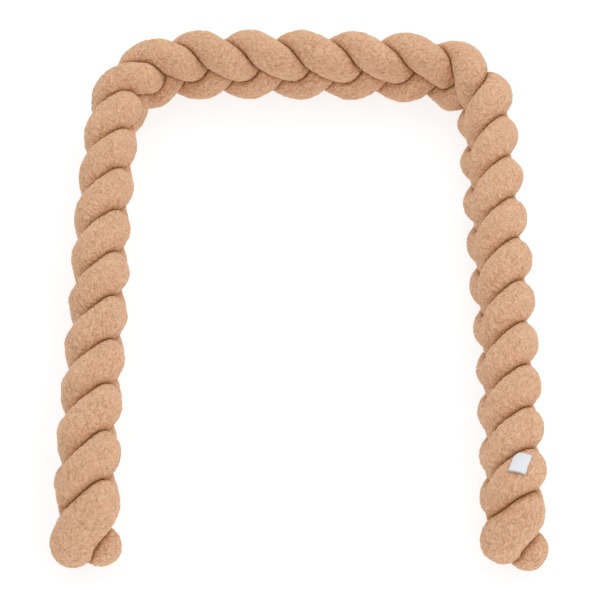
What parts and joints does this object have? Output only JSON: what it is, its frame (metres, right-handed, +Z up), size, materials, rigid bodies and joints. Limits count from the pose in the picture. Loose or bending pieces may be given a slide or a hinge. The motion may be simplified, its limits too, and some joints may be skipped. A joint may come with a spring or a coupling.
{
  "type": "crib bumper",
  "caption": "Plaited crib bumper of stuffed tubes of curly pile cloth, standing on edge in a U, with a small folded label near one free end.",
  "frame": {"origin": "centre of the bounding box in plan, on the surface that the bumper stands on", "axes": "+Z up, +Y from the free ends towards the far run of the U, +X towards the arm that carries the label"},
  "size_m": [0.6088, 0.8484, 0.1078],
  "materials": {
    "camel_teddy_cloth": "matte short curly pile",
    "white_woven_ribbon": "fine woven ribbon, bare"
  },
  "bodies": {
    "root": {"strand_1": "camel_teddy_cloth", "strand_2": "camel_teddy_cloth", "strand_3": "camel_teddy_cloth", "label": "white_woven_ribbon"}
  },
  "joints": []
}
